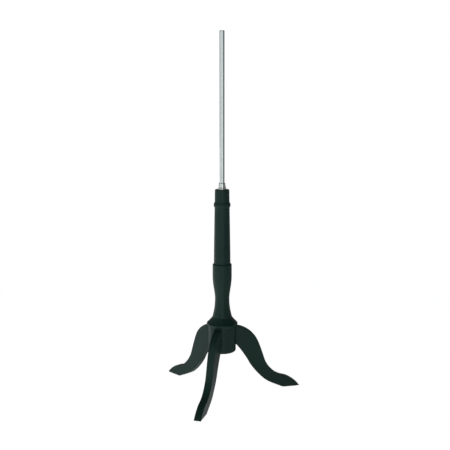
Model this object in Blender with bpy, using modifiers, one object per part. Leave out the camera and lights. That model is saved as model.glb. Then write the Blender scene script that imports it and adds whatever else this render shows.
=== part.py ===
"""Painted turned-wood tripod stand with a chromed pole that slides, swivels and locks.

Three cabriole legs are doweled and bolted to a hollow hub.  A turned column stands on
the hub through a collar, and a bolt from the hub's cavity draws it down.  A chromed
pole telescopes in the column's bore, and a conical nut on a split collet locks it.
Metres, +Z up, floor at Z = 0, front leg along -Y, footprint centred on the origin.
"""
import math

import bmesh
import bpy
from mathutils import Matrix, Vector

MM = 0.001
GAP = 0.3 * MM                      # clearance between touching pieces

# Heights of the wooden parts
SOLE_Z = 1.5 * MM                   # underside of the feet, above the felt pads
HUB_BOTTOM_Z = 143.5 * MM
HUB_TOP_Z = 230.2 * MM
COLLAR_BOTTOM_Z = HUB_TOP_Z + GAP
COLUMN_FOOT_Z = 262.0 * MM          # where the column stands on the collar
WAIST_Z = 323.0 * MM
BELLY_Z = 402.0 * MM
SHOULDER_Z = 438.0 * MM
BEAD_Z = 635.0 * MM
COLUMN_TOP_Z = 685.0 * MM

# Radii of the wooden parts
HUB_R = 45.4 * MM
COLLAR_R = 51.3 * MM
COLUMN_FOOT_R = 31.6 * MM
WAIST_R = 23.8 * MM
BELLY_R = 31.5 * MM
SHAFT_LOW_R = 27.2 * MM
SHAFT_TOP_R = 24.5 * MM
NECK_R = 23.5 * MM
BEAD_R = 27.4 * MM
BEAD_HALF_HEIGHT = 7.5 * MM

# Shape of the turnings: where the curves between the radii above are pulled, and edge rounding
SHAFT_PULLS = ((25.5 * MM, 560.0 * MM), (26.8 * MM, 500.0 * MM))
SHOULDER_COVE = 5.5 * MM            # height of the cove between shaft and shoulder
BELLY_PULL_Z = 365.0 * MM
WAIST_PULL_ABOVE_Z = 347.0 * MM
WAIST_PULL_BELOW_Z = 300.0 * MM
COLUMN_FLARE_PULL = (26.8 * MM, 284.0 * MM)
NECK_ROUND = 1.5 * MM
BEAD_FILLET = 4.0 * MM              # straight neck between the bead and the curves beside it
COLLAR_PULLS = ((35.1 * MM, 256.5 * MM), (41.7 * MM, 249.0 * MM))
COLLAR_NOSE_Z = 238.0 * MM
COLLAR_NOSE_RADII = (2.4 * MM, 3.2 * MM)
COLLAR_CHAMFER = (1.0 * MM, 0.8 * MM)
HUB_TOP_ROUND = 1.6 * MM
HUB_BOTTOM_ROUND = 5.5 * MM

# Joinery between column, collar and hub
TENON_R = 15.0 * MM
TENON_BOTTOM_Z = 216.0 * MM
CAVITY_R = 27.0 * MM
CAVITY_TOP_Z = 200.0 * MM
INSERT_R = 6.2 * MM
INSERT_LENGTH = 20.0 * MM
CENTER_BOLT_R = 4.0 * MM
CENTER_BOLT_TOP_Z = 235.0 * MM
CENTER_WASHER_R = 11.0 * MM
CENTER_WASHER_THICK = 1.6 * MM
CENTER_HEAD_ACROSS_FLATS = 13.0 * MM
CENTER_HEAD_HEIGHT = 5.3 * MM

# Legs and their fixings
LEG_ANGLES = {"front": -90.0, "right": 30.0, "left": 150.0}
LEG_THICK = 24.0 * MM
LEG_EDGE_ROUND = 2.2 * MM
LEG_TIP_R = 269.0 * MM
LEG_HEEL_R = 208.0 * MM
BOLT_Z = 189.0 * MM
BOLT_R = 3.0 * MM
BOLT_INNER_R = 17.5 * MM            # distance from the axis to the bolt's inner end
BOLT_OUTER_R = 82.0 * MM
SADDLE_R = 8.0 * MM
SADDLE_THICK = 2.6 * MM
LEG_NUT_ACROSS_FLATS = 10.0 * MM
LEG_NUT_HEIGHT = 5.0 * MM
DOWEL_R = 4.0 * MM
DOWEL_LENGTH = 30.0 * MM
DOWEL_HEIGHTS = {"upper": 215.0 * MM, "lower": 171.5 * MM}
PAD_THICK = SOLE_Z - GAP
PAD_INSET = 3.0 * MM

# Pole, its guide and its lock
POLE_R = 7.95 * MM
POLE_WALL = 1.2 * MM
POLE_TOP_Z = 1186.6 * MM
POLE_BOTTOM_Z = 594.3 * MM
PLUG_HEAD = 1.6 * MM
PLUG_LENGTH = 14.0 * MM
BORE_R = 9.8 * MM
BORE_BOTTOM_Z = 268.0 * MM
BUSH_R = BORE_R - GAP
BUSH_BOTTOM_Z = 590.0 * MM
BUSH_TOP_Z = 631.5 * MM
BUSH_GROOVE_Z = 612.0 * MM          # ring groove that keeps the swivelling pole in its bush
SOCKET_R = 11.2 * MM
SOCKET_BOTTOM_Z = 650.0 * MM
SOCKET_BORE_R = POLE_R + 0.8 * GAP
FLANGE_R = 13.3 * MM
FLANGE_THICK = 3.3 * MM
SPIGOT_R = 10.0 * MM
SPIGOT_TOP_Z = 699.5 * MM
SLOT_WIDTH = 1.6 * MM
SLOT_BOTTOM_Z = 691.5 * MM
RING_THICK = 3.4 * MM
NUT_BOTTOM_Z = 689.0 * MM
NUT_TOP_Z = 706.6 * MM
NUT_BOTTOM_R = 12.5 * MM
NUT_TOP_R = 10.3 * MM

FINE = 48
MEDIUM = 36
SMALL = 24
TINY = 16

PAINT = (0.013, 0.021, 0.018)
BARE_WOOD = (0.50, 0.34, 0.19)
CHROME = (0.62, 0.64, 0.64)
ZINC = (0.46, 0.47, 0.48)
BRASS = (0.62, 0.46, 0.20)
NYLON = (0.72, 0.71, 0.67)
FELT = (0.09, 0.08, 0.075)


def clear_scene():
    for old in list(bpy.data.objects):
        bpy.data.objects.remove(old, do_unlink=True)


def new_collection(name, parent=None):
    collection = bpy.data.collections.new(name)
    (parent or bpy.context.scene.collection).children.link(collection)
    return collection


def material(name, color, roughness, metallic=0.0):
    mat = bpy.data.materials.new(name)
    mat.use_nodes = True
    shader = mat.node_tree.nodes["Principled BSDF"]
    shader.inputs["Base Color"].default_value = (*color, 1.0)
    shader.inputs["Roughness"].default_value = roughness
    shader.inputs["Metallic"].default_value = metallic
    return mat


def bezier(start, pull_start, pull_end, end, steps):
    """Points along a cubic curve, without its first point."""
    points = []
    for i in range(1, steps + 1):
        t = i / steps
        s = 1.0 - t
        weights = (s ** 3, 3 * s * s * t, 3 * s * t * t, t ** 3)
        corners = (start, pull_start, pull_end, end)
        points.append(tuple(sum(w * c[k] for w, c in zip(weights, corners)) for k in (0, 1)))
    return points


def arc(center, radii, start_deg, end_deg, steps):
    """Points along an elliptical arc in the (radius, height) plane, ends included."""
    points = []
    for i in range(steps + 1):
        angle = math.radians(start_deg + (end_deg - start_deg) * i / steps)
        points.append((center[0] + radii[0] * math.cos(angle), center[1] + radii[1] * math.sin(angle)))
    return points


def add_object(name, mesh, collection, mat=None, parent=None):
    obj = bpy.data.objects.new(name, mesh)
    collection.objects.link(obj)
    obj.parent = parent
    if mat is not None:
        mesh.materials.clear()
        mesh.materials.append(mat)
    return obj


def turned_mesh(name, profile, closed):
    """A profile of (radius, height) points, down the outer side, as edges in the XZ plane."""
    mesh = bpy.data.meshes.new(name)
    bm = bmesh.new()
    verts = [bm.verts.new((r, 0.0, z)) for r, z in profile]
    for a, b in zip(verts, verts[1:]):
        bm.edges.new((a, b))
    if closed:
        bm.edges.new((verts[-1], verts[0]))
    bm.to_mesh(mesh)
    bm.free()
    return mesh


def turned(name, profile, steps, collection, mat=None, parent=None, closed=True):
    obj = add_object(name, turned_mesh(name, profile, closed), collection, mat, parent)
    screw = obj.modifiers.new("Turn", "SCREW")
    screw.steps = steps
    screw.render_steps = steps
    screw.use_merge_vertices = True
    screw.merge_threshold = 0.00001
    screw.use_smooth_shade = True
    return obj


def cylinder_mesh(name, radius, z_low, z_high, segments):
    mesh = bpy.data.meshes.new(name)
    bm = bmesh.new()
    place = Matrix.Translation((0.0, 0.0, (z_low + z_high) / 2))
    bmesh.ops.create_cone(bm, cap_ends=True, segments=segments, radius1=radius, radius2=radius,
                          depth=z_high - z_low, matrix=place)
    bm.to_mesh(mesh)
    bm.free()
    return mesh


def cutter(mesh, collection, parent=None):
    obj = add_object(mesh.name, mesh, collection, parent=parent)
    obj.hide_render = True
    obj.display_type = "WIRE"
    return obj


def boolean(obj, tool, operation="DIFFERENCE"):
    """Cut or join with one object, or with every object of a collection."""
    mod = obj.modifiers.new(operation.title(), "BOOLEAN")
    mod.operation = operation
    mod.solver = "EXACT"
    if isinstance(tool, bpy.types.Collection):
        mod.operand_type = "COLLECTION"
        mod.collection = tool
    else:
        mod.object = tool


def shade(mesh):
    mesh.shade_smooth()
    mesh.set_sharp_from_angle(angle=math.radians(35))


def finished_mesh(obj, name):
    """The object's mesh with its modifiers applied; the object itself is removed."""
    evaluated = obj.evaluated_get(bpy.context.evaluated_depsgraph_get())
    mesh = bpy.data.meshes.new_from_object(evaluated)
    mesh.name = name
    shade(mesh)
    bpy.data.objects.remove(obj, do_unlink=True)
    return mesh


def radial(empty, radius, height):
    """A pose whose +Z points outwards along a leg, at a distance from the column's axis."""
    pose = bpy.data.objects.new(f"{empty.name}_pose_{round(height / MM)}_{round(radius / MM)}", None)
    empty.users_collection[0].objects.link(pose)
    pose.parent = empty
    pose.location = (radius, 0.0, height)
    pose.rotation_euler = (0.0, math.radians(90.0), 0.0)
    return pose


def column_profile():
    foot = (COLUMN_FOOT_R, COLUMN_FOOT_Z)
    waist = (WAIST_R, WAIST_Z)
    belly = (BELLY_R, BELLY_Z)
    shoulder = (BELLY_R - 0.3 * MM, SHOULDER_Z)
    shaft_low = (SHAFT_LOW_R, SHOULDER_Z + SHOULDER_COVE)
    shaft_top = (SHAFT_TOP_R, BEAD_Z - BEAD_HALF_HEIGHT - BEAD_FILLET)
    profile = [(BORE_R, SOCKET_BOTTOM_Z - GAP), (SOCKET_R + GAP, SOCKET_BOTTOM_Z - GAP)]
    profile += [(SOCKET_R + GAP, COLUMN_TOP_Z)]
    profile += arc((NECK_R - NECK_ROUND, COLUMN_TOP_Z - NECK_ROUND), (NECK_ROUND, NECK_ROUND), 90, 0, 3)
    profile += [(NECK_R + 0.5 * MM, BEAD_Z + BEAD_HALF_HEIGHT + BEAD_FILLET)]
    profile += arc((SHAFT_TOP_R, BEAD_Z), (BEAD_R - SHAFT_TOP_R, BEAD_HALF_HEIGHT), 90, -90, 8)
    profile += [shaft_top]
    profile += bezier(shaft_top, *SHAFT_PULLS, shaft_low, 5)
    profile += bezier(shaft_low, (SHAFT_LOW_R, SHOULDER_Z + 2 * MM),
                      (SHAFT_LOW_R + 2 * MM, SHOULDER_Z + 3.2 * MM), shoulder, 4)
    profile += bezier(shoulder, (BELLY_R, SHOULDER_Z - 8 * MM), (BELLY_R, BELLY_Z + 12 * MM), belly, 3)
    profile += bezier(belly, (BELLY_R, BELLY_PULL_Z), (WAIST_R, WAIST_PULL_ABOVE_Z), waist, 8)
    profile += bezier(waist, (WAIST_R, WAIST_PULL_BELOW_Z), COLUMN_FLARE_PULL, foot, 7)
    profile += [(TENON_R, COLUMN_FOOT_Z), (TENON_R, TENON_BOTTOM_Z)]
    profile += [(INSERT_R + GAP, TENON_BOTTOM_Z)]
    profile += [(INSERT_R + GAP, TENON_BOTTOM_Z + INSERT_LENGTH + 2 * GAP)]
    profile += [(0.0, TENON_BOTTOM_Z + INSERT_LENGTH + 2 * GAP)]
    return [(0.0, BORE_BOTTOM_Z), (BORE_R, BORE_BOTTOM_Z)] + profile


def build_column(collection, stand):
    mat = material("painted_column", PAINT, 0.34)
    turned("turned_column", column_profile(), MEDIUM, collection, mat, stand, closed=False)


def build_collar(collection, stand):
    top = (COLUMN_FOOT_R + 0.6 * MM, COLUMN_FOOT_Z - GAP)
    nose = (COLLAR_R - COLLAR_NOSE_RADII[0], COLLAR_NOSE_Z)
    rim = arc(nose, COLLAR_NOSE_RADII, 50, -40, 5)
    low_r = COLLAR_R - 3.6 * MM
    profile = [(TENON_R + GAP, top[1]), top]
    profile += bezier(top, *COLLAR_PULLS, (rim[0][0] - 0.9 * MM, rim[0][1] + 1.1 * MM), 5)
    profile += rim
    profile += [(low_r, COLLAR_BOTTOM_Z + COLLAR_CHAMFER[1])]
    profile += [(low_r - COLLAR_CHAMFER[0], COLLAR_BOTTOM_Z), (TENON_R + GAP, COLLAR_BOTTOM_Z)]
    turned("collar_ring", profile, FINE, collection, material("painted_collar", PAINT, 0.34), stand)


def build_hub(collection, cutters, stand, leg_empties):
    mortise_r = TENON_R + GAP
    mortise_z = TENON_BOTTOM_Z - GAP
    hole_r = CENTER_BOLT_R + GAP
    top_round = (HUB_TOP_ROUND, HUB_TOP_ROUND)
    low_round = (HUB_BOTTOM_ROUND, HUB_BOTTOM_ROUND)
    profile = [(hole_r, mortise_z), (mortise_r, mortise_z), (mortise_r, HUB_TOP_Z)]
    profile += arc((HUB_R - HUB_TOP_ROUND, HUB_TOP_Z - HUB_TOP_ROUND), top_round, 90, 0, 2)
    profile += arc((HUB_R - HUB_BOTTOM_ROUND, HUB_BOTTOM_Z + HUB_BOTTOM_ROUND), low_round, 0, -90, 4)
    profile += [(CAVITY_R + 1.0 * MM, HUB_BOTTOM_Z), (CAVITY_R, HUB_BOTTOM_Z + 1.0 * MM)]
    profile += [(CAVITY_R, CAVITY_TOP_Z), (hole_r, CAVITY_TOP_Z)]
    hub = turned("leg_hub", profile, FINE, collection, material("painted_hub", PAINT, 0.34), stand)

    drills = new_collection("hub_drills", cutters)
    for side, empty in leg_empties.items():
        bolt = cylinder_mesh(f"drill_bolt_{side}", BOLT_R + GAP, 20 * MM, 60 * MM, TINY)
        cutter(bolt, drills, radial(empty, 0.0, BOLT_Z))
        for level, height in DOWEL_HEIGHTS.items():
            hole = cylinder_mesh(f"drill_dowel_{level}_{side}", DOWEL_R + GAP,
                                 HUB_R - DOWEL_LENGTH / 2 - GAP, 60 * MM, TINY)
            cutter(hole, drills, radial(empty, 0.0, height))
    boolean(hub, drills)


def leg_outline():
    """Corners and smooth nodes of the leg's side view.

    Each is (reach, height, heading in degrees, handle behind, handle ahead); the
    outline runs out along the top, back along the sole and up the underside.
    """
    inner = HUB_R - 10 * MM
    return [
        (inner, 228.5 * MM, 0, 0, 31 * MM),
        (112.5 * MM, 187.5 * MM, -56.5, 26 * MM, 24 * MM),
        (145.0 * MM, 105.0 * MM, -71, 22 * MM, 20 * MM),
        (189.0 * MM, 50.5 * MM, -31, 20 * MM, 11 * MM),
        (219.0 * MM, 39.0 * MM, -16, 11 * MM, 14 * MM),
        (LEG_TIP_R, SOLE_Z, -60, 17 * MM, 0),
        (LEG_HEEL_R, SOLE_Z, 152.5, 0, 22 * MM),
        (148.5 * MM, 32.0 * MM, 143.5, 22 * MM, 20 * MM),
        (95.3 * MM, 92.3 * MM, 117, 20 * MM, 24 * MM),
        (inner, 173.5 * MM, 143, 22 * MM, 0),
    ]


def flat_piece(name, nodes, thick, collection):
    """A board cut to an outline, standing in the XZ plane, as a closed mesh object."""
    curve = bpy.data.curves.new(name, "CURVE")
    curve.dimensions = "2D"
    curve.fill_mode = "BOTH"
    curve.extrude = thick / 2
    curve.resolution_u = 6
    spline = curve.splines.new("BEZIER")
    spline.bezier_points.add(len(nodes) - 1)
    spline.use_cyclic_u = True
    for point, (reach, height, heading, behind, ahead) in zip(spline.bezier_points, nodes):
        way = Vector((math.cos(math.radians(heading)), math.sin(math.radians(heading)), 0.0))
        point.co = (reach, height, 0.0)
        point.handle_left_type = point.handle_right_type = "FREE"
        point.handle_left = point.co - way * behind
        point.handle_right = point.co + way * ahead
    drawn = bpy.data.objects.new(name + "_outline", curve)
    collection.objects.link(drawn)
    drawn.rotation_euler = (math.radians(90.0), 0.0, 0.0)
    bpy.context.view_layer.update()
    mesh = bpy.data.meshes.new_from_object(drawn.evaluated_get(bpy.context.evaluated_depsgraph_get()))
    bm = bmesh.new()
    bm.from_mesh(mesh)
    bmesh.ops.remove_doubles(bm, verts=bm.verts, dist=0.00001)
    bmesh.ops.recalc_face_normals(bm, faces=bm.faces)
    bm.to_mesh(mesh)
    bm.free()
    board = add_object(name, mesh, collection)
    board.matrix_world = drawn.matrix_world
    bpy.data.objects.remove(drawn, do_unlink=True)
    return board


def leg_mesh(cutters):
    """One leg, reaching out along +X from the column's axis."""
    board = flat_piece("leg_board", leg_outline(), LEG_THICK, cutters)
    round_edges = board.modifiers.new("Round", "BEVEL")
    round_edges.width = LEG_EDGE_ROUND
    round_edges.segments = 2
    round_edges.limit_method = "ANGLE"
    round_edges.angle_limit = math.radians(55)
    drills = new_collection("leg_drills", cutters)
    bench = bpy.data.objects.new("leg_bench", None)
    cutters.objects.link(bench)
    cutter(cylinder_mesh("cope", HUB_R + GAP, 100 * MM, 260 * MM, FINE), drills)
    cutter(cylinder_mesh("leg_bolt_hole", BOLT_R + GAP, 30 * MM, BOLT_OUTER_R + 2 * GAP, TINY), drills,
           radial(bench, 0.0, BOLT_Z))
    for level, height in DOWEL_HEIGHTS.items():
        hole = cylinder_mesh(f"leg_dowel_hole_{level}", DOWEL_R + GAP, 30 * MM,
                             HUB_R + DOWEL_LENGTH / 2 + 2 * GAP, TINY)
        cutter(hole, drills, radial(bench, 0.0, height))
    boolean(board, drills)
    bpy.context.view_layer.update()
    place = board.matrix_world.copy()
    mesh = finished_mesh(board, "leg")
    mesh.transform(place)
    return mesh


def build_legs(collection, cutters, leg_empties):
    mesh = leg_mesh(cutters)
    for side, empty in leg_empties.items():
        leg = add_object(f"leg_{side}", mesh.copy(), collection,
                         material(f"painted_leg_{side}", PAINT, 0.34), empty)
        leg.data.name = leg.name


def hexagon_mesh(name, across_flats, z_low, z_high):
    return cylinder_mesh(name, across_flats / math.sqrt(3.0), z_low, z_high, 6)


def leg_nut_mesh(cutters):
    blank = hexagon_mesh("nut_blank", LEG_NUT_ACROSS_FLATS, 0.0, LEG_NUT_HEIGHT)
    nut = add_object("nut_blank", blank, cutters)
    hole = cutter(cylinder_mesh("nut_hole", BOLT_R + GAP, -MM, LEG_NUT_HEIGHT + MM, TINY), cutters)
    boolean(nut, hole)
    bpy.context.view_layer.update()
    return finished_mesh(nut, "leg_nut")


def saddle_mesh(cutters):
    """A washer whose outer face follows the hub's cavity wall; +Z points out along the leg."""
    face = CAVITY_R - GAP
    disc = cylinder_mesh("saddle_blank", SADDLE_R, face - SADDLE_THICK, face + MM, SMALL)
    blank = add_object("saddle_blank", disc, cutters)
    wall = cutter(cylinder_mesh("cavity_wall", face, -20 * MM, 20 * MM, FINE), cutters)
    wall.rotation_euler = (0.0, math.radians(90.0), 0.0)
    hole = cutter(cylinder_mesh("saddle_hole", BOLT_R + GAP, 10 * MM, 40 * MM, TINY), cutters)
    boolean(blank, wall, "INTERSECT")
    boolean(blank, hole)
    bpy.context.view_layer.update()
    return finished_mesh(blank, "saddle_washer")


def leg_bolt_profile():
    """Hanger bolt: machine thread inside the hub, wood thread and point inside the leg."""
    root_r = BOLT_R - 0.5 * MM
    return [
        (0.0, BOLT_OUTER_R),
        (0.8 * MM, BOLT_OUTER_R - 0.6 * MM),
        (root_r, BOLT_OUTER_R - 7 * MM),
        (BOLT_R, BOLT_OUTER_R - 9 * MM),
        (BOLT_R, HUB_R + 5 * MM),
        (root_r, HUB_R + 4 * MM),
        (root_r, HUB_R + 1 * MM),
        (BOLT_R, HUB_R),
        (BOLT_R, BOLT_INNER_R + 0.8 * MM),
        (BOLT_R - 0.8 * MM, BOLT_INNER_R),
        (0.0, BOLT_INNER_R),
    ]


def dowel_profile():
    half = DOWEL_LENGTH / 2
    chamfer = 1.0 * MM
    return [
        (0.0, HUB_R + half),
        (DOWEL_R - chamfer, HUB_R + half),
        (DOWEL_R, HUB_R + half - chamfer),
        (DOWEL_R, HUB_R - half + chamfer),
        (DOWEL_R - chamfer, HUB_R - half),
        (0.0, HUB_R - half),
    ]


def build_leg_fixings(collection, cutters, leg_empties):
    nut_mesh = leg_nut_mesh(cutters)
    saddle = saddle_mesh(cutters)
    nut_at = CAVITY_R - GAP - SADDLE_THICK - GAP - LEG_NUT_HEIGHT
    for side, empty in leg_empties.items():
        bolt_line = radial(empty, 0.0, BOLT_Z)
        turned(f"hanger_bolt_{side}", leg_bolt_profile(), TINY, collection,
               material(f"zinc_bolt_{side}", ZINC, 0.35, 1.0), bolt_line, closed=False)
        add_object(f"saddle_washer_{side}", saddle.copy(), collection,
                   material(f"zinc_saddle_{side}", ZINC, 0.38, 1.0), bolt_line)
        nut = add_object(f"leg_nut_{side}", nut_mesh.copy(), collection,
                         material(f"zinc_nut_{side}", ZINC, 0.36, 1.0), bolt_line)
        nut.location = (0.0, 0.0, nut_at)
        for level, height in DOWEL_HEIGHTS.items():
            turned(f"dowel_{level}_{side}", dowel_profile(), TINY, collection,
                   material(f"beech_dowel_{level}_{side}", BARE_WOOD, 0.7), radial(empty, 0.0, height),
                   closed=False)


def build_pads(collection, leg_empties):
    """A felt pad under each foot, a little smaller than the sole."""
    length = LEG_TIP_R - LEG_HEEL_R - 4 * PAD_INSET
    width = LEG_THICK - 2 * PAD_INSET
    for side, empty in leg_empties.items():
        mesh = bpy.data.meshes.new(f"foot_pad_{side}")
        bm = bmesh.new()
        size = Matrix.Diagonal((length, width, PAD_THICK, 1.0))
        bmesh.ops.create_cube(bm, size=1.0, matrix=size)
        corners = [edge for edge in bm.edges
                   if abs(edge.verts[0].co.z - edge.verts[1].co.z) > PAD_THICK / 2]
        bmesh.ops.bevel(bm, geom=corners, offset=3 * MM, segments=4, profile=0.5, affect="EDGES")
        bm.to_mesh(mesh)
        bm.free()
        pad = add_object(mesh.name, mesh, collection, material(f"felt_{side}", FELT, 0.95), empty)
        pad.location = (LEG_HEEL_R + 1.5 * PAD_INSET + length / 2, 0.0, PAD_THICK / 2)


def build_center_fixings(collection, cutters, stand):
    insert_top = TENON_BOTTOM_Z + GAP + INSERT_LENGTH
    bore = CENTER_BOLT_R + GAP
    insert = [
        (bore, insert_top),
        (INSERT_R - 0.6 * MM, insert_top),
        (INSERT_R, insert_top - 1.2 * MM),
        (INSERT_R, TENON_BOTTOM_Z + GAP),
        (bore, TENON_BOTTOM_Z + GAP),
    ]
    turned("threaded_insert", insert, SMALL, collection, material("brass_insert", BRASS, 0.35, 1.0), stand)

    washer_top = CAVITY_TOP_Z - GAP
    washer_low = washer_top - CENTER_WASHER_THICK
    washer = [
        (bore, washer_top),
        (CENTER_WASHER_R - 0.3 * MM, washer_top),
        (CENTER_WASHER_R, washer_top - 0.3 * MM),
        (CENTER_WASHER_R, washer_low),
        (bore, washer_low),
    ]
    turned("center_washer", washer, SMALL, collection, material("zinc_washer", ZINC, 0.38, 1.0), stand)

    head_top = washer_low - GAP
    head_low = head_top - CENTER_HEAD_HEIGHT
    head = hexagon_mesh("bolt_head", CENTER_HEAD_ACROSS_FLATS, head_low, head_top)
    bolt = add_object("bolt_blank", head, cutters)
    rod = cylinder_mesh("bolt_shank", CENTER_BOLT_R, head_top - 2 * MM, CENTER_BOLT_TOP_Z, TINY)
    shank = cutter(rod, cutters)
    boolean(bolt, shank, "UNION")
    bpy.context.view_layer.update()
    add_object("center_bolt", finished_mesh(bolt, "center_bolt"), collection,
               material("zinc_center_bolt", ZINC, 0.35, 1.0), stand)


def build_socket(collection, cutters, stand):
    """Split collet: sleeve in the column, flange on its top, slotted threaded spigot above."""
    flange_low = COLUMN_TOP_Z + GAP
    flange_top = flange_low + FLANGE_THICK
    profile = [
        (SOCKET_BORE_R, SPIGOT_TOP_Z),
        (SPIGOT_R - 1.2 * MM, SPIGOT_TOP_Z),
        (SPIGOT_R, SPIGOT_TOP_Z - 1.4 * MM),
        (SPIGOT_R, flange_top),
        (FLANGE_R - 0.7 * MM, flange_top),
        (FLANGE_R, flange_top - 0.7 * MM),
        (FLANGE_R, flange_low + 0.4 * MM),
        (FLANGE_R - 0.4 * MM, flange_low),
        (SOCKET_R, flange_low),
        (SOCKET_R, SOCKET_BOTTOM_Z + 1 * MM),
        (SOCKET_R - 1 * MM, SOCKET_BOTTOM_Z),
        (SOCKET_BORE_R, SOCKET_BOTTOM_Z),
    ]
    socket = turned("collet_socket", profile, SMALL, collection,
                    material("chrome_socket", CHROME, 0.16, 1.0), stand)
    slots = new_collection("collet_slots", cutters)
    for i in range(2):
        mesh = bpy.data.meshes.new(f"slot_{i}")
        bm = bmesh.new()
        height = SPIGOT_TOP_Z - SLOT_BOTTOM_Z + 4 * MM
        size = Matrix.Diagonal((4 * SPIGOT_R, SLOT_WIDTH, height, 1.0))
        middle = Matrix.Translation((0.0, 0.0, SLOT_BOTTOM_Z + height / 2))
        bmesh.ops.create_cube(bm, size=1.0, matrix=middle @ size)
        bm.to_mesh(mesh)
        bm.free()
        saw = cutter(mesh, slots, stand)
        saw.rotation_euler = (0.0, 0.0, math.radians(90.0 * i + 3.0))
    boolean(socket, slots)


def build_lock(collection, ring_empty, nut_empty):
    """Clamp ring on the collet, and the conical nut that presses it down."""
    ring_low = SPIGOT_TOP_Z + GAP
    ring_top = ring_low + RING_THICK
    ring_bore = SOCKET_BORE_R + 0.1 * MM
    ring = [
        (ring_bore, ring_top),
        (ring_bore + 0.5 * MM, ring_top),
        (SPIGOT_R - 0.5 * MM, ring_low + 1.3 * MM),
        (SPIGOT_R - 0.5 * MM, ring_low + 0.3 * MM),
        (SPIGOT_R - 0.8 * MM, ring_low),
        (ring_bore, ring_low),
    ]
    turned("clamp_ring", ring, SMALL, collection, material("brass_ring", BRASS, 0.3, 1.0), ring_empty)

    lip = 1.3 * MM
    throat = ring_bore + 0.1 * MM
    skirt = SPIGOT_R + 0.4 * MM
    nut = [
        (throat, NUT_TOP_Z),
        (NUT_TOP_R - lip, NUT_TOP_Z),
        (NUT_TOP_R - 0.3 * MM, NUT_TOP_Z - 0.5 * MM),
        (NUT_TOP_R, NUT_TOP_Z - lip),
        (NUT_BOTTOM_R - 0.2 * MM, NUT_BOTTOM_Z + 2.4 * MM),
        (NUT_BOTTOM_R, NUT_BOTTOM_Z + 1.6 * MM),
        (NUT_BOTTOM_R, NUT_BOTTOM_Z + 0.5 * MM),
        (NUT_BOTTOM_R - 0.5 * MM, NUT_BOTTOM_Z),
        (skirt, NUT_BOTTOM_Z),
        (skirt, ring_low + 1.6 * MM),
        (throat, ring_top + 0.7 * MM),
    ]
    turned("lock_nut", nut, MEDIUM, collection, material("chrome_nut", CHROME, 0.14, 1.0), nut_empty)


def build_pole(collection, slider_empty, swivel_empty):
    inner = POLE_R - POLE_WALL
    tube_top = POLE_TOP_Z - PLUG_HEAD - GAP
    groove_half = 2.2 * MM
    groove_r = POLE_R - 0.5 * MM
    tube = [
        (inner, tube_top),
        (POLE_R, tube_top),
        (POLE_R, BUSH_GROOVE_Z + groove_half + 0.6 * MM),
        (groove_r, BUSH_GROOVE_Z + groove_half),
        (groove_r, BUSH_GROOVE_Z - groove_half),
        (POLE_R, BUSH_GROOVE_Z - groove_half - 0.6 * MM),
        (POLE_R, POLE_BOTTOM_Z + 0.6 * MM),
        (POLE_R - 0.4 * MM, POLE_BOTTOM_Z),
        (inner, POLE_BOTTOM_Z),
    ]
    turned("pole_tube", tube, SMALL, collection, material("chrome_pole", CHROME, 0.2, 1.0), swivel_empty)

    stem = inner - GAP
    head_low = POLE_TOP_Z - PLUG_HEAD
    stem_low = POLE_TOP_Z - PLUG_LENGTH
    plug = [(0.0, POLE_TOP_Z)]
    plug += arc((POLE_R - 1.1 * MM, POLE_TOP_Z - 1.1 * MM), (1.1 * MM, 1.1 * MM), 90, 0, 3)
    plug += [(POLE_R, head_low), (stem, head_low), (stem, stem_low + 1 * MM), (stem - 1 * MM, stem_low)]
    plug += [(0.0, stem_low)]
    turned("pole_top_plug", plug, SMALL, collection, material("chrome_plug", CHROME, 0.22, 1.0),
           swivel_empty, closed=False)

    bush_bore = POLE_R + GAP
    ridge_r = groove_r + GAP
    ridge_half = 1.0 * MM
    bush = [
        (bush_bore, BUSH_TOP_Z),
        (BUSH_R - 0.8 * MM, BUSH_TOP_Z),
        (BUSH_R, BUSH_TOP_Z - 0.8 * MM),
        (BUSH_R, BUSH_BOTTOM_Z + 1.5 * MM),
        (BUSH_R - 1.5 * MM, BUSH_BOTTOM_Z),
        (5 * MM, BUSH_BOTTOM_Z),
        (5 * MM, POLE_BOTTOM_Z - GAP),
        (bush_bore, POLE_BOTTOM_Z - GAP),
        (bush_bore, BUSH_GROOVE_Z - ridge_half - 0.5 * MM),
        (ridge_r, BUSH_GROOVE_Z - ridge_half),
        (ridge_r, BUSH_GROOVE_Z + ridge_half),
        (bush_bore, BUSH_GROOVE_Z + ridge_half + 0.5 * MM),
    ]
    turned("pole_foot_bush", bush, SMALL, collection, material("nylon_bush", NYLON, 0.5), slider_empty)


def new_empty(name, collection, parent=None, turn_deg=0.0):
    """An empty on the column's axis, which every joint of the stand shares."""
    empty = bpy.data.objects.new(name, None)
    collection.objects.link(empty)
    empty.parent = parent
    empty.rotation_euler = (0.0, 0.0, math.radians(turn_deg))
    return empty


def center_footprint(stand, parts):
    """Slide the whole stand so that the middle of its outer box is over the origin."""
    bpy.context.view_layer.update()
    depsgraph = bpy.context.evaluated_depsgraph_get()
    points = []
    for obj in parts.objects:
        if obj.type == "MESH":
            evaluated = obj.evaluated_get(depsgraph)
            points += [evaluated.matrix_world @ vertex.co for vertex in evaluated.data.vertices]
    for axis in (0, 1):
        low = min(point[axis] for point in points)
        high = max(point[axis] for point in points)
        stand.location[axis] -= (low + high) / 2


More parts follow.
